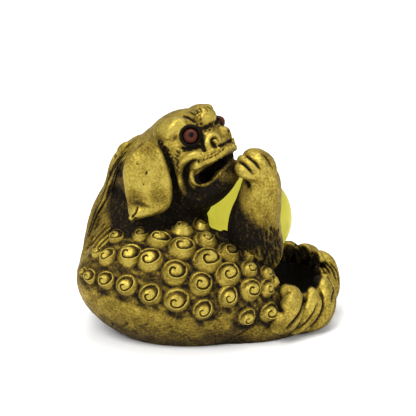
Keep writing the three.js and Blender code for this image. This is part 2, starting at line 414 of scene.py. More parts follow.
curl = {
    "middle": (-5.5, -6.1, 9.5),
    # bearing from the near side towards the tail, height angle and size of each
    "near": [
        (-118, 78, 1.7), (27, 82, 2.0), (105, 69, 1.7), (86, 49, 1.7), (77, 30, 1.5), (-80, 42, 1.5),
        (-65, 56, 1.5), (-37, 62, 2.1), (55, 59, 2.1), (64, 39, 2.1), (68, 21, 1.7), (-78, 27, 1.1),
        (-68, 29, 1.7), (-53, 38, 2.2), (-33, 41, 2.3), (7, 58, 2.4), (37, 41, 2.6), (49, 24, 2.3),
        (61, 8, 2.1), (73, 5, 1.7), (-78, 13, 1.0), (-72, 13, 1.4), (-60, 15, 1.7), (-45, 16, 1.9),
        (-3, 34, 2.3), (23, 22, 2.1), (44, 7, 1.9), (72, -10, 1.9), (-25, 12, 2.0), (-1, 8, 2.2),
        (23, -2, 1.9), (57, -11, 1.7),
    ],
    # more of them, by where they show in the photograph
    "seen": [(248, 254.5, 1.55), (266, 273, 1.45), (262, 260, 1.2), (274, 281, 1.2)],
    "farMiddle": (-4.4, 7.0, 6.8),
    # rows of them on the far flank: height angle, first and last bearing, number and size
    "farRows": [(58, -52, 50, 5, 2.0), (38, -50, 62, 7, 2.2), (18, -50, 66, 7, 2.1), (0, -48, 58, 6, 1.9)],
    "fuller": 1.06,
    "height": 0.58,
    # the valley winds out from the middle: its bearing, distance, strength and half width
    "valley": [
        (70, 0.10, 0, 0.075), (115, 0.17, 0.7, 0.09), (160, 0.36, 0.8, 0.0825), (232, 0.46, 0.8, 0.075),
        (279, 0.42, 0.8, 0.075), (320, 0.49, 0.9, 0.0825), (347, 0.59, 1, 0.105), (373, 0.71, 1, 0.1275),
        (402, 0.77, 1, 0.15), (435, 0.71, 1, 0.135), (477, 0.69, 0.8, 0.1125), (516, 0.76, 0.5, 0.105),
        (560, 0.86, 0, 0.09),
    ],
    "depth": 0.18,
    "crest": 0.11,
    "nearMesh": (56, 40),
    "farMesh": (44, 30),
}


def curlHeight(r, angle):
    # in units of the curl's size: a blunt cone, a valley that winds out of its top, and a crest beyond it
    cone = curl["height"] * (1 - eased(r, 0.42, 1.10)) + 0.07 * (1 - r) - 0.4 * np.maximum(r - 1.08, 0)
    bearings, distances, strengths, widths = np.array(curl["valley"], float).T
    valley, crest = np.zeros((2, len(r)))
    for turn in range(3):
        along = np.degrees(angle) % 360 + 360 * turn
        there = (along > bearings[0]) & (along < bearings[-1])
        middle, width = np.interp(along, bearings, distances), np.interp(along, bearings, widths)
        strength = there * np.interp(along, bearings, strengths)
        beyond = (r - middle - 1.6 * width) / (0.45 * width + 0.02)
        valley = np.maximum(valley, strength * np.exp(-(((r - middle) / width) ** 2)))
        crest = np.maximum(crest, strength * np.exp(-(beyond**2)))
    return cone - curl["depth"] * valley + curl["crest"] * crest, valley, crest


def lineTo(middle, side, bearing, height):
    b, h = math.radians(bearing), math.radians(height)
    way = Vector((math.sin(b) * math.cos(h), side * math.cos(b) * math.cos(h), math.sin(h)))
    return Vector(middle) + way * 60, -way


def curlSpots():
    near = [(*lineTo(curl["middle"], nearSide, *way), size) for *way, size in curl["near"]]
    near += [(*map(Vector, sightLine(u, v)), size) for u, v, size in curl["seen"]]
    far = []
    for k, (height, start, end, count, size) in enumerate(curl["farRows"]):
        for i in range(count):
            bearing = start + (end - start) * (i + 0.5 * (k % 2)) / count
            far.append((*lineTo(curl["farMiddle"], farSide, bearing, height), size))
    return near, far


def makeCurls(name, spots, tree, mesh):
    around, rings = mesh
    bm = bmesh.new()
    bmesh.ops.create_uvsphere(bm, u_segments=around, v_segments=rings, radius=1)
    dome = objectFrom(bm, "dome")
    sphere = pointsOf(dome)
    t = np.arccos(np.clip(sphere[:, 2], -1, 1)) / math.pi
    angle = np.arctan2(sphere[:, 1], sphere[:, 0])
    r = np.interp(t, [0, 0.86, 1], [0, 1.24, 0])
    bm = bmesh.new()
    places, tints = [], []
    random = np.random.default_rng(12)
    for start, way, size in spots:
        hit = tree.ray_cast(start, way)[0]
        size = size * curl["fuller"]
        # the ground's mean normal there
        ways = [Vector(row) * sign for row in Matrix.Identity(3) for sign in (-1, 1)]
        normal = sum((tree.find_nearest(hit + w * size * 0.6)[1] for w in ways), Vector()).normalized()
        upright = Vector((0, 0, 1)) if normal.z < 0.96 else Vector((0, 1, 0))
        up = (upright - normal * normal.dot(upright)).normalized()
        right = up.cross(normal)
        rise, valley, crest = curlHeight(r, angle + random.uniform(-0.45, 0.45))
        rise = np.where(t > 0.87, -0.35, rise) * size
        dark = random.uniform(-0.05, 0.1) + 0.5 * valley + 0.26 * valley**0.2 - 0.36 * crest
        tints.append(dark + 0.5 * eased(r, 0.86, 1.1) - 0.14 * (1 - eased(r, 0.2, 0.9)))
        oval = 1 + random.uniform(-0.05, 0.05)
        across, along = r * size * oval * np.cos(angle), r * size / oval * np.sin(angle)
        level = np.array(hit) + np.outer(across, right) + np.outer(along, up)
        for p, z in zip(level + 4 * np.array(normal), rise.tolist()):
            place = tree.ray_cast(p, -normal, 9)[0] or Vector(p) - normal * 4.5
            places.append(place + normal * z)
        bm.from_mesh(dome.data)
    discard(dome)
    made = objectFrom(bm, name)
    reshaped(made, places)
    keepValues(made, "own", np.concatenate(tints))
    return made


# the head

head = {
    "at": (-0.5, -2.9, 39.5),
    "yaw": -32,
    "pitch": 35,
    "clay": 0.35,
    "faceClay": 0.22,
    "grain": 0.165,
    # masses in the head's own frame: x to the nose, z to the crown
    "masses": [
        {"at": (-6.3, 0, -0.9), "radii": (8.6, 7.4, 7)},  # skull
        {"at": (-9.5, 0, -6.5), "radii": (7.5, 6.2, 6.4)},  # throat
        {"at": (-0.9, 0, -4.4), "radii": (4.0, 5.2, 2.5)},  # muzzle
        {"at": (-5.2, 0, -10.5), "radii": (6.1, 5, 2.5), "turn": (0, -10, 0)},  # jaw
        {"at": (-0.9, 0, -9.5), "radii": (2.6, 3.8, 2.1)},  # chin
    ],
    "middle": [
        {"at": (1.3, 0, 1.9), "radii": (2.0, 2.6, 2.1)},  # knob on the forehead
        {"at": (0.5, 0, -2.2), "radii": (2.0, 2.2, 1.5)},  # bridge of the nose
        {"at": (1.7, 0, -6.0), "radii": (1.2, 2.2, 1.3)},  # front of the upper lip
        {"at": (0.9, 0, -8.4), "radii": (1.2, 2.2, 1.1)},  # front of the lower lip
        {"at": (0.6, 0, -7.2), "radii": (1.6, 1.9, 1.1)},  # what closes the mouth in front
    ],
    "paired": [
        {"at": (1.0, 2.0, -2.7), "radii": (2.2, 2.3, 1.95)},  # wing of the nose
        {"at": (-2.7, 4.9, -3.4), "radii": (3.2, 1.9, 2.0), "turn": (0, 20, 12)},  # cheek
        {"at": (-3.4, 4.9, 2.9), "radii": (3.6, 2.2, 2.3), "turn": (0, 10, -12)},  # temple
    ],
    # masses in the bench frame
    "neck": [(-6, 1.2, 34.5), (-9.2, 1, 31), (-11, 1, 26.5), (-11.5, 1, 23)],
    "neckRadii": [6.5, 7.9, 7.4, 6],
    "nape": [(-13, 0.8, 31), (-10.4, 0.6, 33.6), (-7.6, 0.2, 36.2), (-4.6, -0.4, 38.4)],
    "napeRadii": [3.4, 3.9, 3.8, 3.5],
    "breast": {"at": (-5, 0.5, 27), "radii": (6.6, 6.4, 8)},
    # lines over the photograph, from the lip's front round the corner of the mouth and back
    "lips": [
        (229, 148.8), (221, 154), (213, 158.8), (205, 161.8), (198, 165), (193, 169.5), (191.2, 175),
        (192.6, 180), (196.8, 184.3), (203, 185.8), (210, 183.5), (216, 178.5), (222, 172), (228.5, 165.5),
    ],
    "lipRadii": [
        0.85, 0.85, 0.65, 0.62, 0.6, 0.58, 0.55, 0.52, 0.48, 0.42, 0.38, 0.38, 0.4, 0.45, 0.5, 0.5,
    ],
    "lipFronts": [(1.7, 1.4, -5.9), (2.2, 0, -6.0), (1.4, 0, -8.1), (1.1, 1.4, -8.1)],
    "mouth": [(199.5, 179), (204, 177.3), (209, 173.8), (214.5, 168.5), (219.5, 164), (225, 160)],
    "mouthRadii": [0.95, 1.2, 1.15, 1.0, 0.85, 0.6],
}
headFrame = Matrix.Translation(head["at"]) @ turned((0, 0, head["yaw"])) @ turned((0, -head["pitch"], 0))
headFlip = headFrame @ Matrix.Diagonal((1, -1, 1, 1)) @ headFrame.inverted()
eye = {
    "at": (-0.1, 4.8, 0),
    "out": (0.72, 0.68, 0.1),
    "bead": 1.33,
    "pupil": 0.03,  # how far it stands out
    "socket": 2.08,
    "rim": 2.5,
    "lid": 1.72,
    "lidWire": 0.2,
}
sides = ((nearSide, Matrix()), (farSide, headFlip))

# drawn over the photograph on the near side and repeated on the far one: line, half width, depth
face = {
    "lines": [
        ([(200.5, 153), (192, 154.5), (184, 159.5), (179.8, 167), (178.4, 175), (179.4, 184),
          (183.3, 192.5), (190, 198), (199, 199.5)], 0.62, -0.5),  # jowl
        ([(187, 121.5), (178, 122.5), (170.5, 129), (167, 139), (163.5, 148)], 0.9, -0.5),  # brow to ear
        ([(199, 160.8), (193.5, 161.8), (188.3, 166), (185.6, 172), (185.2, 178.5), (186.5, 185),
          (190, 190.5), (195, 193.8), (202, 194.5)], 0.5, 0.95),  # fold round the corner of the mouth
        ([(163.5, 151), (166.5, 158), (169.8, 166), (172.8, 175), (174.6, 184), (175.5, 194), (176, 205)],
         0.6, 1.0),  # before the ear
        ([(183.5, 115.5), (189, 118), (195, 121.7)], 0.26, 0.4),  # over the brow
        ([(197, 128.5), (203, 128.3), (209, 126), (214, 123.5)], 0.4, 0.25),  # under the knob
        ([(202.5, 129.5), (202.8, 136), (202.2, 143), (204.3, 150), (205.5, 154.5)], 0.3, 0.5),
        ([(180, 148), (186, 149.2), (193, 148), (200, 146.5), (203.5, 149)], 0.3, 0.45),  # under the eye
        ([(218.5, 146.5), (223, 144.6), (227.5, 141.5)], 0.3, 0.45),  # under the nose
        ([(218.8, 140), (217.6, 137.6), (214.6, 137), (212, 139.5), (212.2, 143.2), (214.6, 146.4)],
         0.36, 0.9),  # wing of the nose
        ([(213, 140.8), (213.8, 144.2), (216.4, 147.2)], 0.5, 0.95),  # nostril
        ([(197, 189), (203, 190.8), (211, 188.5), (218, 183)], 0.45, 0.4),  # under the lower lip
        ([(220, 163), (225, 160), (229.5, 157.3), (234, 155.5)], 0.5, 0.7),  # mouth's front
        ([(193, 108), (196.5, 111), (199, 116)], 0.16, 0.16),  # fine ones on the forehead
        ([(198, 107), (201, 110), (201.5, 114)], 0.16, 0.16),
        ([(189.5, 111), (193, 114), (197.5, 117.5)], 0.16, 0.16),
        ([(203.5, 107), (206.5, 109), (208.5, 112)], 0.16, 0.14),
    ],
    # rough places: line, radius, height and darkness
    "rough": [
        ([(196.5, 111), (197.5, 118), (199.5, 125)], 1.0, 0.12, 0.55),
        ([(199, 129), (206, 128.5), (212, 126), (217, 123)], 1.0, 0.14, 0.5),
        ([(181, 149.5), (187, 150), (195, 148)], 0.6, 0.08, 0.6),
        ([(178.5, 152), (176.8, 158), (177.3, 166), (178, 172)], 0.6, 0.12, 0.55),
        ([(160.5, 143), (165, 150), (169, 157), (171.5, 166)], 0.9, 0.12, 0.85),
        ([(201, 158), (208, 155.5), (215, 152), (221, 148.5)], 0.85, 0.05, 0.6),
    ],
    # rows of small raised grains over the upper lip
    "grains": [
        [(200, 158.8), (208, 156.8), (215, 153.6), (221.5, 149.5)],
        [(201, 156), (208, 153.8), (214.5, 150.6), (219.5, 147.8)],
        [(203, 153.4), (208.5, 151.4), (213.5, 148.6)],
    ],
    "grainSize": 0.24,
}


def eyePlace(side, forward):
    # the bead's place, its z looking out of the head
    way = Vector((eye["out"][0], side * eye["out"][1], eye["out"][2])).normalized()
    at = Vector((eye["at"][0], side * eye["at"][1], eye["at"][2])) + way * forward
    return headFrame @ Matrix.Translation(at) @ way.to_track_quat("Z", "Y").to_matrix().to_4x4()


def makeHead():
    bm = bmesh.new()
    for egg in head["masses"]:
        addEgg(bm, around=48, within=headFrame, **egg)
    addLock(bm, head["neck"], head["neckRadii"], thick=1.12, around=40, along=32)
    addLock(bm, head["nape"], head["napeRadii"], thick=1.45, around=40, along=32, blunt=0.35)
    addEgg(bm, **head["breast"])
    clay = fused(objectFrom(bm, "headClay"), head["clay"], 8)

    bm = joinedBm(clay)
    discard(clay)
    for egg in head["middle"]:
        addEgg(bm, around=32, within=headFrame, **egg)
    for side in (nearSide, farSide):
        for egg in head["paired"]:
            x, y, z = egg["at"]
            a, b, c = egg.get("turn", (0, 0, 0))
            addEgg(bm, (x, side * y, z), egg["radii"], (side * a, b, side * c), headFrame, 28)
        addEgg(bm, (0, 0, 0), [eye["rim"]] * 3, within=eyePlace(side, -1.0), around=28)
    clay = fused(objectFrom(bm, "faceClay"), head["faceClay"], 3)

    # the mouth and the sockets are cut out, and the lips and lids laid on
    skin = treeOf(clay)
    mouth, lips = traced(skin, head["mouth"]), traced(skin, head["lips"], 0.1)
    cutters, added = bmesh.new(), bmesh.new()
    for side, flip in sides:
        sideways = side * headFrame.col[1].xyz
        path = [flip @ p for p in mouth]
        addLock(cutters, path, head["mouthRadii"], 2.4, sideways, around=32, along=60, blunt=0.3)
        addEgg(cutters, (0, 0, 0), [eye["socket"]] * 3, within=eyePlace(side, 0.1), around=32)
        beyond, upper, lower, last = [headFrame @ Vector(p) for p in head["lipFronts"]]
        path = [flip @ p for p in (beyond, upper, *lips, lower, last)]
        addLock(added, path, head["lipRadii"], 1, sideways, around=16, along=110, blunt=0.3)
        addRing(added, eyePlace(side, 0.25), eye["lid"], eye["lidWire"])
    cutBy(clay, objectFrom(cutters, "mouthCutter"))
    cutSeat(clay)
    added.from_mesh(clay.data)
    discard(clay)
    made = fused(objectFrom(added, "head"), head["grain"], 2)

    co, tree = pointsOf(made), treeOf(made)
    drawn = drawnOn(tree, face["lines"])
    height, dark = 0.02 * (ripple(co, 0.9, 8) + ripple(co, 0.5, 9)), np.zeros(len(co))
    across = (co - head["at"]) @ np.array(headFrame.col[1].xyz)
    for side, flip in sides:
        half = eased(side * across, -0.35, 0.15)
        depth, mark = scored(co, [([flip @ p for p in path], width, deep) for path, width, deep in drawn])
        height -= half * depth
        dark = np.maximum(dark, half * mark)
        for k, (stops, radius, amount, strength) in enumerate(face["rough"]):
            away = farFrom(co, [flip @ p for p in traced(tree, stops)], 12)[0]
            inside = half * (1 - eased(away, 0.5 * radius, radius))
            lumps = ripple(co, 0.6, 80 + k)
            height += amount * inside * lumps
            dark = np.maximum(dark, strength * inside * (0.75 - 0.5 * lumps))
        for stops in face["grains"]:
            for p in traced(tree, stops):
                away = np.linalg.norm(co - (flip @ p), axis=1)
                near = np.exp(-((away / face["grainSize"]) ** 2))
                height += 0.2 * near
                dark -= 0.6 * near
    for side, flip in sides:
        away, where = farFrom(co, [flip @ p for p in mouth], 24)
        wide = curveAt(head["mouthRadii"], where)[:, 0]
        dark = np.maximum(dark, 1.2 * (1 - eased(away / wide, 0.95, 1.25)))
    pushed(made, height)
    keepValues(made, "own", np.clip(dark, -0.3, 1.2))
    return made


# ears

ear = {
    # its edge over the photograph, from the upper left round by the right
    "edge": [
        (129.3, 156.4), (137, 147.9), (144.5, 142), (152, 142.5), (158, 147.5), (162.6, 154),
        (165.7, 163.6), (168, 170.7), (170.2, 176.4), (171.6, 183), (172.2, 190.5), (172.1, 198),
        (170.7, 203.8), (167, 208.8), (161, 212.6), (153, 214.6), (146, 216), (138, 219), (132, 219.5),
        (129, 215), (128.2, 209.5), (128.6, 204), (126.4, 196.4), (125.2, 187), (123.3, 178.6),
        (123, 170.5), (124.6, 164),
    ],
    "middle": (-11, -8.3, 30.5),
    "thick": 1.75,
    "lean": (-7, 0, 0),
    "farMiddle": (-4.6, 9.2, 30.5),
    "farLean": (9, 0, 0),
    "grain": 0.16,
    "farGrain": 0.21,
    "waves": [(0.03, 2.2, 21), (0.015, 0.8, 22)],
    "farWaves": [(0.03, 2.2, 23)],
    # the tip is rolled forward: the roll and the small beak below it
    "roll": [(130.5, 213.5), (137, 211.8), (146, 210.8), (155, 209.8), (163, 205.5)],
    "rollRadii": [1.0, 1.4, 1.15, 0.85, 0.55],
    "beak": [(132.5, 215.5), (132, 218.5), (132.3, 222)],
    "beakRadii": [0.8, 0.6, 0.25],
    "rollDepth": -9.6,
    "lines": [
        ([(137.4, 207.3), (136.2, 210.5), (134.7, 214.2), (132.4, 217.2)], 0.2, 0.55),
        ([(133.6, 222), (134.2, 219.5), (136.5, 218)], 0.2, 0.4),
        ([(131, 203.5), (137, 203.5), (143, 205), (149, 207)], 0.4, 0.15),
        ([(146.6, 171.5), (146, 174.5)], 0.16, 0.3), ([(136.5, 163.8), (138, 164.2)], 0.16, 0.25),
        ([(143.4, 184.2), (143.8, 185.2)], 0.16, 0.2),
    ],
}


def earForm(bm, middle, lean):
    # a cushion-like drop with the ear's edge, drawn upright in the x-z plane
    verts = bmesh.ops.create_uvsphere(bm, u_segments=120, v_segments=40, radius=1)["verts"]
    sphere = placesOf(verts)
    loop = np.array([seenAt(u, v, ear["middle"][1]) for u, v in ear["edge"] * 3]) - ear["middle"]
    loop = loop[:, [0, 2]]
    bearings = np.unwrap(np.arctan2(loop[:, 1], loop[:, 0]))[::-1]
    lengths = np.linalg.norm(loop, axis=1)[::-1]
    angle = np.arctan2(sphere[:, 1], sphere[:, 0])
    want = angle + 2 * math.pi * np.ceil((bearings[0] + 2 * math.pi - angle) / (2 * math.pi))
    fine = np.linspace(bearings[0], bearings[-1], 900)
    soft = np.convolve(np.interp(fine, bearings, lengths), np.hanning(25) / np.hanning(25).sum(), "same")
    radius = np.interp(want, fine, soft) * np.linalg.norm(sphere[:, :2], axis=1) ** 0.85
    rise = -ear["thick"] * np.copysign(np.abs(sphere[:, 2]) ** 0.8, sphere[:, 2])
    place = Matrix.Translation(middle) @ turned(lean)
    moveTo(verts, [place @ Vector(p) for p in zip(radius * np.cos(angle), rise, radius * np.sin(angle))])


def makeEars():
    bm = bmesh.new()
    earForm(bm, ear["middle"], ear["lean"])
    roll = [seenAt(u, v, ear["rollDepth"]) for u, v in ear["roll"]]
    beak = [seenAt(u, v, ear["rollDepth"]) for u, v in ear["beak"]]
    addLock(bm, roll, ear["rollRadii"], around=24, blunt=0.35)
    addLock(bm, beak, ear["beakRadii"], around=16)
    near = fused(objectFrom(bm, "earNear"), ear["grain"], 3)
    mark = engraved(near, drawnOn(treeOf(near), ear["lines"]), ear["waves"])[1]
    keepValues(near, "own", 0.9 * mark)
    bm = bmesh.new()
    earForm(bm, ear["farMiddle"], ear["farLean"])
    shift = np.array(ear["farMiddle"]) - ear["middle"]
    farRoll = [p * (1, -1, 1) + shift * (1, 0, 1) + (0, 0.9, 0) for p in roll]
    addLock(bm, farRoll, ear["rollRadii"], around=24, blunt=0.35)
    far = fused(objectFrom(bm, "earFar"), ear["farGrain"], 3)
    engraved(far, [], ear["farWaves"])
    return [near, far]


# the mane: long strands that fall from the back of the head, in two layers

mane = {
    "axis": [(-8.5, 36), (-10.5, 30), (-11.8, 24), (-12.6, 17), (-12.8, 10), (-12.6, 4)],
    "layers": [
        {"from": -14, "to": 86, "count": 11, "top": 32.8, "bottom": 6.5, "radius": 1.05, "lift": 0.25,
         "drift": -7},
        {"from": -10, "to": 80, "count": 9, "top": 35.2, "bottom": 17.0, "radius": 1.1, "lift": 0.6,
         "drift": -9},
    ],
    # strands drawn over the photograph, with their radius
    "seen": [
        ([(132, 142.5), (121.5, 151), (113.5, 162.5), (107.5, 175), (103, 188), (98, 202.5), (91.8, 220),
          (87, 238), (84, 250)], 1.0),
        ([(129.5, 148.5), (121, 158), (114.5, 168.5), (109.8, 180), (106.5, 191), (102.5, 202), (97, 214.5),
          (91.5, 228), (87, 243)], 0.9),
        ([(127.5, 155.5), (122, 163), (118, 171), (114.8, 181), (112, 191.5), (108, 200.5), (102.5, 209),
          (97, 219.5), (92, 231), (88, 244)], 0.85),
        ([(106, 221), (99, 229), (92.5, 238), (87, 246)], 0.42),
        ([(110, 222.5), (103, 229.5), (95.5, 238.5), (89, 248)], 0.4),
        ([(113, 226), (106, 232.5), (98.5, 240.5), (91, 250)], 0.4),
        ([(116, 229.5), (108.5, 236), (100.5, 243.5), (93.5, 252)], 0.38),
        ([(119, 232), (111, 238.5), (103, 246), (96, 253.5)], 0.34),
    ],
    # engraved lines between and along the strands
    "lines": [
        [(128, 146.5), (117.5, 159), (110.3, 173), (105, 187), (101, 199), (94.5, 213), (88.5, 231)],
        [(125, 155.5), (118, 167), (112.3, 179), (109.6, 190), (106, 199), (99.8, 210), (93.2, 223.5),
         (88.5, 236)],
        [(131, 144.5), (122, 153.5), (114, 165), (108, 178)],
        [(124.5, 160.5), (119.5, 170), (116.3, 180), (113.5, 190)],
        [(126.5, 151.5), (119.5, 160), (113.5, 170.5)], [(123, 170), (120, 180), (118, 192), (113, 203)],
    ],
    "profile": [0.3, 0.8, 1, 1, 0.9, 0.4],
    "seenProfile": [0.5, 0.9, 1, 1, 0.85, 0.35],
    "cut": (0.24, 0.4),
    "grain": 0.19,
    "waves": [(0.02, 1.0, 31)],
}


def makeMane(*ground):
    tree = treeOf(*ground)
    random = np.random.default_rng(7)
    bm = bmesh.new()
    axis = np.array(mane["axis"])
    strands = []
    for layer in mane["layers"]:
        for i in range(layer["count"]):
            bearing = layer["from"] + (layer["to"] - layer["from"]) * i / (layer["count"] - 1)
            top = layer["top"] + random.uniform(-1.8, 0.9) - 0.04 * abs(bearing)
            bottom = layer["bottom"] + random.uniform(-1.5, 2.0) + 6.5 * (abs(bearing) / 85) ** 2
            path, face = [], []
            for s in np.linspace(0, 1, 10):
                z = top + (bottom - top) * s
                b = math.radians(bearing + layer["drift"] * s * s + 1.6 * math.sin(6 * s + i))
                middle = Vector((np.interp(-z, -axis[:, 1], axis[:, 0]), 1, z))
                way = Vector((-math.cos(b), math.sin(b), 0))
                hit, normal = tree.ray_cast(middle + way * 40, -way)[:2]
                if hit is not None:
                    path.append(hit + way * layer["lift"])
                    face.append((way + normal).normalized())
            if len(path) > 4:
                w = layer["radius"] * random.uniform(0.9, 1.12)
                path, face = settled(path), np.array(face)
                addLock(bm, path, w * np.array(mane["profile"]), 0.7, face, around=14, along=60)
                strands.append((path + 0.65 * w * face, 0.17, 0.2))
    for stops, w in mane["seen"]:
        path, radii = settled(traced(tree, stops, 0.1)), w * np.array(mane["seenProfile"])
        addLock(bm, path, radii, 0.7, (-0.6, -0.8, 0.1), around=14, along=60)
    made = flatUnderneath(fused(objectFrom(bm, "mane"), mane["grain"], 2))
    skin = treeOf(made, *ground)
    cuts = [(settled(settled(traced(skin, stops))), *mane["cut"]) for stops in mane["lines"]]
    mark = engraved(made, cuts + strands, mane["waves"])[1]
    keepValues(made, "own", 0.95 * mark)
    return made


# the tail: thick locks that climb the ring and fold over its rim

tail = {
    "at": (15.6, 1.4),
    "radii": (9.0, 10.9),
    # the locks on the far side stand at even bearings
    "first": 30, "last": 116, "count": 4, "lean": 24, "slope": 0.1,
    # and rise along these stops: share of the lean, share of the ring's radii, and height
    "stops": [(-1, 0.84, 0.8), (-0.5, 0.97, 4.6), (0, 0.94, 8.2), (0.08, 0.80, 9.6), (-0.1, 0.66, 8.7)],
    "widths": [1.8, 2.6, 2.6, 2.2, 1.3],
    # the near ones are drawn over the photograph from the base up and over the rim, with their radii
    "seen": [
        ([(320, 328.5), (330.5, 320), (335.5, 308), (336.8, 295), (334.5, 283), (329.5, 274), (323, 270.5),
          (318, 273)], [0.9, 1.25, 1.15, 1.05, 1.05, 1.15, 1.2, 0.8]),
        ([(312, 329.5), (323, 321.5), (329.5, 310), (331.3, 299), (329.5, 287), (325.5, 278.5), (321, 275)],
         [0.7, 0.9, 0.85, 0.8, 0.8, 0.8, 0.5]),
        ([(305, 331), (315, 323.5), (322.5, 313), (326, 302), (324.5, 291), (321, 283), (317, 280.5)],
         [0.8, 1.2, 1.35, 1.35, 1.35, 1.5, 1.1]),
        ([(300, 331.5), (309, 324), (316, 313.5), (319.5, 303), (319, 296.5)],
         [0.6, 0.85, 0.95, 0.85, 0.5]),
        ([(290, 333), (299, 326), (306.5, 315.5), (310.7, 304), (312.3, 295), (310.5, 289)],
         [0.9, 1.15, 1.15, 1.15, 1.25, 0.95]),
        ([(280, 333), (289.5, 326), (297, 315.5), (300, 304.5), (298.3, 296), (294, 292.7)],
         [0.7, 0.8, 0.75, 0.7, 0.65, 0.45]),
        ([(271, 331), (280, 324), (288, 314.5), (292.2, 304), (290.5, 296), (285, 293), (280.5, 297)],
         [1.5, 2.3, 2.3, 2.0, 1.85, 1.6, 1.0]),
    ],
    "lines": [
        ([(304, 292), (303.8, 302), (301.5, 311.5), (295.5, 320.5), (287.5, 328)], 0.4, 0.7),
        ([(316.3, 288.5), (320, 294), (323.6, 301.5), (322.6, 310), (318, 319.5), (311, 327)], 0.3, 0.6),
        ([(328.2, 277), (332.3, 285), (333.4, 292.5), (332, 301)], 0.28, 0.45),
        ([(283.5, 311), (279, 308.5), (277, 304)], 0.5, 0.7),  # pit beside the first lock
        ([(316, 262), (324, 266), (330.5, 274)], 0.25, 0.35),
        ([(324, 262.5), (332, 269), (336.5, 280)], 0.25, 0.35),
        ([(330, 262.5), (337, 271), (339, 283)], 0.22, 0.3), ([(293, 246), (298, 255)], 0.18, 0.25),
        ([(297.5, 245), (303, 255)], 0.18, 0.25), ([(302, 246), (307.5, 257)], 0.18, 0.25),
        ([(309, 257), (313.5, 267)], 0.18, 0.25), ([(314.5, 257.5), (318.5, 268)], 0.18, 0.25),
        ([(317.5, 303.5), (313.5, 313), (306.5, 322), (299, 328)], 0.22, 0.3),
    ],
    "fuller": 1.18,
    "grain": 0.18,
    "waves": [(0.03, 1.6, 41), (0.018, 0.7, 42)],
}


def makeTail(ground):
    tree = treeOf(ground)
    bm = bmesh.new()
    for i in range(tail["count"]):
        middle = tail["first"] + (tail["last"] - tail["first"]) * i / (tail["count"] - 1)
        for aside, inward, scale in ((0, 0, 1), (10.5, 0.03, 0.6)):
            path = []
            for sweep, reach, z in tail["stops"]:
                b = math.radians(middle + aside + sweep * tail["lean"])
                x = math.cos(b) * tail["radii"][0] * (reach - inward)
                y = math.sin(b) * tail["radii"][1] * (reach - inward)
                z = (z - 0.9 * (aside > 0)) * (1 + tail["slope"] * y / 9)
                path.append((tail["at"][0] + x, tail["at"][1] + y, z))
            b = math.radians(middle)
            radii = scale * np.array(tail["widths"])
            addLock(bm, path, radii, 0.75, (math.cos(b), math.sin(b), 0.2), around=28, along=48)
    for stops, radii in tail["seen"]:
        path, radii = settled(traced(tree, stops, 0.15)), tail["fuller"] * np.array(radii)
        addLock(bm, path, radii, 0.75, (0.35, -0.85, 0.4), around=24, along=56, blunt=0.35)
    made = flatUnderneath(cutSeat(fused(objectFrom(bm, "tailLocks"), tail["grain"], 3)))
    co, mark = engraved(made, drawnOn(treeOf(made, ground), tail["lines"]), tail["waves"])
    keepValues(made, "own", 0.8 * mark + 0.8 * insideHollow(co))
    return made


# forelegs: the near one lifts its paw to the mouth, the far one holds the ball

foreleg = {
    # the limb over the photograph from the flank up to the knuckles: across, down and depth
    "limb": [
        (256, 262, 3), (256.5, 250, -2.5), (254.5, 234, -5.4), (255, 219, -6.2), (258.3, 205, -6.4),
        (261, 190, -6.4), (261, 176, -6.4), (257.5, 163, -6.2),
    ],
    "radii": [5, 5.8, 5.35, 4.85, 4.4, 4.05, 3.85, 3.0],
    "hand": [(240.5, 161, -6.8), (249, 163, -7), (258, 169, -7), (264, 178, -6.6)],
    "handRadii": [2.3, 3.2, 3.55, 3.2],
    "fingers": [
        ([(235.6, 166, -8.2), (240.5, 168.5, -8.9), (247, 173, -9.6), (253.5, 179, -9.6)],
         [0.9, 1.3, 1.35, 0.8]),
        ([(237.6, 157.8, -7.4), (244, 160.2, -8.2), (251.5, 165.7, -9.2), (259, 174, -9.9)],
         [0.75, 1.05, 1.15, 0.7]),
        ([(247, 153.2, -6.2), (253, 155.4, -7.2), (260, 160.8, -8.6), (266, 170, -9.8)],
         [0.75, 1.15, 1.3, 0.8]),
        ([(258, 153, -4.6), (264, 157, -5.8), (270, 164.4, -7), (275, 175, -8)], [0.8, 1.15, 1.15, 0.85]),
    ],
    "lines": [
        ([(236, 161.3), (241.5, 162.8), (248, 168), (253, 174)], 0.24, 0.4),
        ([(245.5, 155), (250, 158.3), (256, 163.6), (260, 169.5)], 0.24, 0.45),
        ([(262.5, 154.3), (268, 159.5), (272.5, 168)], 0.22, 0.35),
        ([(236.5, 176.5), (241, 179.5), (245.5, 183.5), (248.5, 188)], 0.7, 0.9),  # hollow under the thumb
        ([(259, 172), (263, 184), (264, 198), (262, 210)], 0.9, -0.3),
        ([(271, 170), (275, 184), (275.5, 200)], 0.8, -0.22),
    ],
    # a ragged tuft on the wrist, and finer fur above it
    "tuft": {"area": (254, 226, 281, 262), "count": 76, "length": 7, "lean": (-0.25, 0.45), "width": 0.2,
             "deep": 0.25, "seed": 4},
    "fur": {"area": (236, 196, 279, 226), "count": 34, "length": 8, "lean": (-0.3, 0.1), "width": 0.24,
            "deep": 0.06, "seed": 5},
    "clay": 0.3,
    "grain": 0.165,
    "waves": [(0.03, 2.0, 51), (0.02, 0.8, 52)],
}
farLeg = {
    "path": [(-8, 6, 20), (-5, 11, 20.5), (0, 15, 20), (6, 16.4, 19.6), (10.5, 15, 19.6)],
    "radii": [4, 4.4, 3.8, 3.2, 2.4],
    "toes": [(5.5, 17.8), (9.2, 17.4), (12.2, 15.6), (13.2, 13.6)],
    "toeRadii": [0.9, 1.15, 1.05, 0.7],
    "toeHeights": (22.0, 20.45, 18.9, 17.35),
    "grain": 0.22,
    "waves": [(0.03, 1.6, 61)],
}


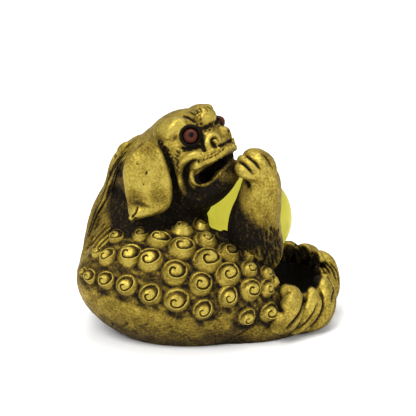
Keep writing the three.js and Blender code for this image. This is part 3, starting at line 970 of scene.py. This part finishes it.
def makeForeleg():
    bm = bmesh.new()
    limb, hand = [seenAt(*p) for p in foreleg["limb"]], [seenAt(*p) for p in foreleg["hand"]]
    addLock(bm, limb, foreleg["radii"], 0.95, around=48, along=60, blunt=0.25)
    addLock(bm, hand, foreleg["handRadii"], 0.9, around=40, along=40, blunt=0.35)
    clay = fused(objectFrom(bm, "legClay"), foreleg["clay"], 6)
    bm = joinedBm(clay)
    discard(clay)
    for stops, radii in foreleg["fingers"]:
        addLock(bm, [seenAt(*p) for p in stops], radii, around=20, along=36, blunt=0.35)
    made = cutSeat(fused(objectFrom(bm, "forelegNear"), foreleg["grain"], 5))
    lines = foreleg["lines"] + strokes(**foreleg["tuft"]) + strokes(**foreleg["fur"])
    mark = engraved(made, laid(treeOf(made), lines), foreleg["waves"])[1]
    keepValues(made, "own", 0.55 * mark)
    return made


def makeFarLeg():
    bm = bmesh.new()
    addLock(bm, farLeg["path"], farLeg["radii"], 0.9, (0, 0, 1), around=40, along=60)
    for z in farLeg["toeHeights"]:
        toe = [(x, y, z + 0.1 * i) for i, (x, y) in enumerate(farLeg["toes"])]
        addLock(bm, toe, farLeg["toeRadii"], face=(0, 0, 1), around=16, along=28)
    made = cutSeat(fused(objectFrom(bm, "forelegFar"), farLeg["grain"], 4))
    engraved(made, [], farLeg["waves"])
    return made


# eyes: a glass bead with a raised pupil


def makeEye(side, name):
    bm = bmesh.new()
    verts = bmesh.ops.create_uvsphere(bm, u_segments=64, v_segments=48, radius=eye["bead"])["verts"]
    away = [v.co.angle(Vector((0, 0, 1))) for v in verts]
    for v, angle in zip(verts, away):
        v.co = eyePlace(side, 0) @ (v.co * (1 + eye["pupil"] * float(1 - eased(angle, 0.30, 0.42))))
    made = objectFrom(bm, name)
    keepValues(made, "fromPupil", away)
    return made


# tarnish and painted shade: how dark each place of the brass is

skyRays = 48
skyReach = 14


def fieldOf(places, values, cell):
    # spreads what was measured at some places over a grid, and reads it anywhere between
    low = places.min(0) - 4 * cell
    shape = np.ceil((places.max(0) - low) / cell).astype(int) + 5
    at = np.floor((places - low) / cell + 0.5).astype(int)
    flat = np.ravel_multi_index(at.T, shape)
    total = np.bincount(flat, values, minlength=shape.prod()).reshape(shape)
    weight = np.bincount(flat, minlength=shape.prod()).reshape(shape).astype(float)
    for again in range(3):
        for grid in (total, weight):
            spread = grid.copy()
            for axis in range(3):
                spread += 0.3 * (np.roll(grid, 1, axis) + np.roll(grid, -1, axis))
            grid[:] = spread
    field = total / np.maximum(weight, 1e-9)

    def read(points):
        x = (points - low) / cell
        i = np.clip(np.floor(x).astype(int), 0, shape - 2)
        t = np.clip(x - i, 0, 1)
        value = np.zeros(len(points))
        for corner in np.ndindex(2, 2, 2):
            share = np.prod(np.where(corner, t, 1 - t), axis=1)
            value += share * field[tuple((i + corner).T)]
        return value

    return read


def skyOver(whole, tree):
    # how much sky each place of the figure sees
    places, normals = pointsOf(whole), normalsOf(whole)
    k = np.arange(skyRays) + 0.5
    height = 1 - 2 * k / skyRays
    turn = k * math.pi * (1 + 5**0.5)
    level = np.sqrt(1 - height**2)
    ways = np.stack([level * np.cos(turn), level * np.sin(turn), height], 1)
    vectors = [Vector(w) for w in ways]
    lean = np.maximum(normals @ ways.T - 0.1, 0)
    sky = np.zeros(len(places))
    for i, p in enumerate(places + normals * 0.4):
        start = Vector(p)
        for j in np.nonzero(lean[i])[0]:
            hit = tree.ray_cast(start, vectors[j], skyReach)
            sky[i] += lean[i, j] * (1 if hit[0] is None else (hit[3] / skyReach) ** 1.5)
    return fieldOf(places, sky / lean.sum(1), 0.9)


def creasesOver(objects):
    # hollows of the whole figure, also where one piece meets the next
    whole = fused(objectFrom(joinedBm(*objects), "skin"), 0.3, 0)
    field = fieldOf(pointsOf(whole), hollowsOf(whole, 14), 0.34)
    discard(whole)
    return field


patinaAndShade = {
    # how dark each piece is to begin with
    "base": {"body": 0.34, "mane": 0.32, "curlsNear": 0.11, "curlsFar": 0.22, "forelegNear": 0.32,
             "forelegFar": 0.32, "head": 0.26, "earNear": 0.3, "earFar": 0.3, "tailLocks": 0.27},
    "creases": 1.25,
    "ridges": 0.26,
    "shade": 1.1,
    "foot": 0.2,
    "scratches": 0.7,
    "edges": 0.15,
    "shadeUnderneath": 0.3,
    "blotches": 0.08,
    "sockets": 1.3,
    "betweenCurls": 0.42,
    # only what is cut deep is quite black; elsewhere the brass still glints through
    "deepest": 1.4,
    "glinting": 1.05,
}

# painted pools of shade and light, together with places where dark colour has gathered or is rubbed away:
# across, down, radius, strength
stainsAndShading = [
    (205, 204, 4.8, 0.8), (186, 210, 3.4, 0.7), (222, 190, 3.4, 0.45), (226, 176, 3.2, 0.2),
    (214, 185, 3.0, 0.1), (176, 190, 1.8, 0.7), (184, 204, 3.4, 0.7), (232, 165, 2.0, 0.5),
    (118, 206, 3.6, 0.65), (116, 194, 2.8, 0.5), (119, 181, 2.4, 0.45), (121, 169, 1.8, 0.5),
    (122, 220, 3.2, 0.7), (142, 224, 3.0, 0.6), (160, 218, 3.2, 0.6), (172, 214, 3.0, 0.5),
    (231, 222, 4.6, 0.85), (234, 205, 3.2, 0.5), (241, 235, 5.0, 0.7), (263, 240, 4.0, 0.2),
    (275, 250, 4.2, 0.35), (158, 194, 2.2, 0.25), (136, 199, 2.6, 0.25), (148, 142, 3.0, 0.25),
    (96, 230, 4.0, 0.2), (230, 335, 6.0, 0.1), (148, 178, 6.0, -0.2), (172, 130, 3.6, -0.2),
    (190, 157, 3.2, -0.2), (214, 138, 2.8, -0.15), (207, 116, 2.8, -0.2), (200, 170, 3.0, -0.1),
    (263, 182, 5.0, -0.15), (140, 213, 2.6, -0.2), (310, 305, 7.0, -0.1), (192, 230, 5.0, -0.15),
    (250, 166, 3.0, -0.15),
]


def darkSockets(co):
    middles = [np.array(eyePlace(side, 0).translation) for side in (nearSide, farSide)]
    away = np.min([np.linalg.norm(co - middle, axis=1) for middle in middles], axis=0)
    return patinaAndShade["sockets"] * (1 - eased(away, 2.0, 2.3))


def betweenCurls(co):
    # the ground of the flanks is dark round the curls: tarnish gathered at their feet, and painted shade
    # between them
    away = np.array([curlTree.find_nearest(p, 2.5)[3] or 2.5 for p in co])
    return patinaAndShade["betweenCurls"] * (1 - eased(away, 0.1, 1.4)) * (1 + 0.7 * ripple(co, 1.3, 91))


def ageAndShade(made):
    # lays on the brass's darkness: tarnish in the hollows and worn ridges, with painted shade and painted
    # pools of light and shade added
    co, down = pointsOf(made), -normalsOf(made)[:, 2]
    fine, wide, shade = hollowsOf(made, 6), crease(co), 1 - eased(sky(co), 0.12, 0.72)
    # painted shade: places that see little sky are darkened
    dark = patinaAndShade["base"][made.name] + patinaAndShade["shade"] * shade
    dark += patinaAndShade["creases"] * eased(wide, 0.0, 0.16) - patinaAndShade["ridges"] * eased(-wide, 0.0, 0.16)
    dark += patinaAndShade["scratches"] * eased(fine, 0.006, 0.06) - patinaAndShade["edges"] * eased(-fine, 0.01, 0.06)
    # darker near the table, partly the browner tarnish low on the flanks and partly painted shade against
    # the floor's light; faces that look down get painted shade
    dark += patinaAndShade["foot"] * (1 - eased(co[:, 2], 1, 8)) + patinaAndShade["shadeUnderneath"] * eased(down, 0.2, 0.9)
    dark += patinaAndShade["blotches"] * ripple(co, 2.6, 71)
    # painted pools of shade and light, along with stains and rubbed places
    for place, radius, strength in stainsAndShadingPlaced:
        away = np.linalg.norm(co - place, axis=1)
        dark += strength * (1 - eased(away, 0.4 * radius, 1.15 * radius))
    own = np.zeros(len(co))
    if "own" in made.data.attributes:
        made.data.attributes["own"].data.foreach_get("value", own)
    if made.name == "head":
        own += darkSockets(co)
    if made.name == "body":
        own += betweenCurls(co)
    darkest = np.where(own > 0.85, patinaAndShade["deepest"], patinaAndShade["glinting"] + 0.12 * ripple(co, 0.9, 72))
    keepValues(made, "patinaAndShade", np.clip(dark + own, 0, darkest))


# finishes


def feed(node, inputs):
    # a node's output is linked to the input, and a number or colour is set on it
    for key, value in inputs.items():
        if isinstance(value, bpy.types.NodeSocket):
            node.id_data.links.new(value, node.inputs[key])
        else:
            node.inputs[key].default_value = value


def finishOf(name, finish):
    # finish is handed what adds a node and a colour ramp, and gives back the shader's inputs
    made = bpy.data.materials.new(name)
    made.use_nodes = True
    nodes = made.node_tree.nodes

    def add(kind, inputs, output=0, **values):
        node = nodes.new("ShaderNode" + kind)
        for key, value in values.items():
            setattr(node, key, value)
        feed(node, inputs)
        return node.outputs[output]

    def ramp(level, *stops):
        colours = nodes.new("ShaderNodeValToRGB")
        elements = colours.color_ramp.elements
        while len(elements) < len(stops):
            elements.new(0.5)
        for element, (position, colour) in zip(elements, stops):
            element.position = position
            element.color = (*colour, 1)
        feed(colours, {"Fac": level})
        return colours.outputs["Color"]

    feed(nodes["Principled BSDF"], finish(add, ramp))
    return made


brass = {
    "worn": (0.445, 0.345, 0.065),
    "plain": (0.245, 0.173, 0.025),
    "brown": (0.065, 0.042, 0.009),
    "black": (0.006, 0.0045, 0.003),
    "blotches": 0.55,
    "specks": 1.15,
    "roughness": (0.50, 0.72),
}


def brassFinish(add, ramp):
    place = add("TexCoord", {}, "Object")
    blotch = add("TexNoise", {"Vector": place, "Scale": 420, "Detail": 4}, "Fac")
    speck = add("TexNoise", {"Vector": place, "Scale": 2600, "Detail": 3, "Roughness": 0.65}, "Fac")
    level = add("Attribute", {}, "Fac", attribute_name="patinaAndShade")
    for noise, amount in ((blotch, brass["blotches"]), (speck, brass["specks"])):
        drift = add("Math", {0: noise, 1: 0.5}, operation="SUBTRACT")
        level = add("Math", {0: drift, 1: amount, 2: level}, operation="MULTIPLY_ADD")
    low, high = brass["roughness"]
    return {
        "Base Color": ramp(level, (0.0, brass["worn"]), (0.30, brass["plain"]), (0.66, brass["brown"]),
                           (1.0, brass["black"])),
        "Roughness": add("MapRange", {"Value": level, "From Max": 0.9, "To Min": low, "To Max": high}),
        "Metallic": add("MapRange", {"Value": level, "From Min": 0.35, "To Min": 0.85, "To Max": 0}),
        "Specular IOR Level": 0.04,
        "Normal": add("Bump", {"Height": speck, "Strength": 0.35, "Distance": 0.00008}),
    }


stone = {"body": (0.47, 0.43, 0.042), "pale": (0.53, 0.49, 0.07), "deep": (0.36, 0.33, 0.028), "glow": 1.2}


def stoneFinish(add, ramp):
    place = add("TexCoord", {}, "Object")
    cloud = add("TexNoise", {"Vector": place, "Scale": 130, "Detail": 5, "Distortion": 0.6}, "Fac")
    colour = ramp(cloud, (0.30, stone["deep"]), (0.52, stone["body"]), (0.75, stone["pale"]))
    # the stone is milky; a painted glow sends its colour out as light, so it is as bright in the shade as
    # in the light
    return {
        "Base Color": add("HueSaturation", {"Color": colour, "Value": 0.07}),
        "Emission Color": colour,
        "Emission Strength": stone["glow"],
        "Roughness": 0.35,
        "Specular IOR Level": 0.05,
        "Subsurface Weight": 0.55,
        "Subsurface Radius": (1.0, 0.9, 0.25),
        "Subsurface Scale": 0.004,
        "IOR": 1.52,
    }


glass = {"pupil": (0.004, 0.003, 0.003), "edge": (0.035, 0.010, 0.006), "iris": (0.078, 0.022, 0.013),
         "rim": (0.055, 0.014, 0.008)}


def glassFinish(add, ramp):
    away = add("Attribute", {}, "Fac", attribute_name="fromPupil")
    place = add("TexCoord", {}, "Object")
    fleck = add("TexNoise", {"Vector": place, "Scale": 2400, "Detail": 3}, "Fac")
    level = add("Math", {0: fleck, 1: 0.12, 2: away}, operation="MULTIPLY_ADD")
    return {
        "Base Color": ramp(level, (0.36, glass["pupil"]), (0.46, glass["edge"]), (0.62, glass["iris"]),
                           (1.0, glass["rim"])),
        "Roughness": 0.2,
        "Specular IOR Level": 0.06,
    }


# the studio

studio = {
    "floor": (0.92, 0.92, 0.92, 1),
    "room": 0.6,
    "lit": (0, 0, 0.02),
    # soft panels round the lit place: where they hang, their size and power
    "panels": {
        "keyPanel": ((-0.22, -0.30, 0.42), 0.30, 2.6),
        "fillPanel": ((0.42, -0.28, 0.25), 0.35, 1.0),
        "topPanel": ((0.02, 0.12, 0.50), 0.35, 1.6),
    },
}


def standing(name, data, at, target):
    # a lamp or camera, turned towards what it is for
    made = bpy.data.objects.new(name, data)
    made.location = at
    made.rotation_euler = (Vector(target) - Vector(at)).to_track_quat("-Z", "Y").to_euler()
    bpy.context.scene.collection.objects.link(made)
    return made


def floorFinish(add, ramp):
    return {"Base Color": studio["floor"], "Roughness": 0.8}


def makeStudio():
    scene = bpy.context.scene
    bm = bmesh.new()
    bmesh.ops.create_grid(bm, x_segments=2, y_segments=2, size=3)
    floor = objectFrom(bm, "floor")
    floor.data.materials.append(finishOf("paleFloor", floorFinish))
    world = bpy.data.worlds.new("softRoom")
    world.use_nodes = True
    feed(world.node_tree.nodes["Background"], {"Color": (1, 1, 1, 1), "Strength": studio["room"]})
    scene.world = world
    for name, (at, size, power) in studio["panels"].items():
        light = bpy.data.lights.new(name, "AREA")
        light.size = size
        light.energy = power
        standing(name, light, at, studio["lit"])
    camera = bpy.data.cameras.new("camera")
    camera.sensor_width = view["sensor"]
    camera.lens = view["lens"]
    camera.clip_start = 0.01
    aim, rise = benchToRow @ Vector(view["aim"]), math.radians(view["rise"])
    at = aim + Vector((0, -math.cos(rise), math.sin(rise))) * view["away"] * 0.001
    scene.camera = standing("camera", camera, at, aim)
    scene.view_settings.view_transform = "Standard"


makeStudio()
print("studio ready")
stoneBall = makeBall()
print("ball", len(stoneBall.data.polygons))
bodyPiece = makeBody()
print("body", len(bodyPiece.data.polygons))
headPiece = makeHead()
print("head", len(headPiece.data.polygons))
manePiece = makeMane(bodyPiece, headPiece)
print("mane", len(manePiece.data.polygons))
flankTree = treeOf(bodyPiece)
nearSpots, farSpots = curlSpots()
curlPieces = [
    makeCurls("curlsNear", nearSpots, flankTree, curl["nearMesh"]),
    makeCurls("curlsFar", farSpots, flankTree, curl["farMesh"]),
]
print("curls", [len(c.data.polygons) for c in curlPieces])
earPieces = makeEars()
print("ears", [len(e.data.polygons) for e in earPieces])
tailPiece = makeTail(bodyPiece)
print("tail", len(tailPiece.data.polygons))
forelegPiece = makeForeleg()
farLegPiece = makeFarLeg()
print("forelegs", len(forelegPiece.data.polygons), len(farLegPiece.data.polygons))

castings = [bodyPiece, headPiece, manePiece, *curlPieces, *earPieces, tailPiece, forelegPiece, farLegPiece]
coarse = fused(objectFrom(joinedBm(*castings, stoneBall), "coarse"), 0.8, 1)
coarseTree = treeOf(coarse)
# how much sky each place sees, laid on as painted shade, and the figure's hollows
sky, crease = skyOver(coarse, coarseTree), creasesOver(castings)
stainsAndShadingPlaced = [(np.array(seenOn(coarseTree, u, v)[0]), radius, strength) for u, v, radius, strength in stainsAndShading]
discard(coarse)
print("sky and creases measured")
curlTree = treeOf(*curlPieces)
for piece in castings:
    ageAndShade(piece)
print("patina laid on")

agedBrass = finishOf("agedBrass", brassFinish)
yellowStone = finishOf("yellowStone", stoneFinish)
eyeGlass = finishOf("eyeGlass", glassFinish)
eyes = [makeEye(nearSide, "eyeRight"), makeEye(farSide, "eyeLeft")]
for piece, finish, slot, node in (
    *[(c, agedBrass, "aged_brass", "figure") for c in castings],
    (stoneBall, yellowStone, "yellow_stone", "ball"),
    (eyes[0], eyeGlass, "eye_glass", "eye_right"),
    (eyes[1], eyeGlass, "eye_glass", "eye_left"),
):
    piece.data.transform(benchToRow)
    piece.data.materials.clear()
    piece.data.materials.append(finish)
    piece.data.polygons.foreach_set("use_smooth", np.ones(len(piece.data.polygons), bool))
    piece.data.update()
    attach(piece, "root")
    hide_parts(node)
print("pieces placed")
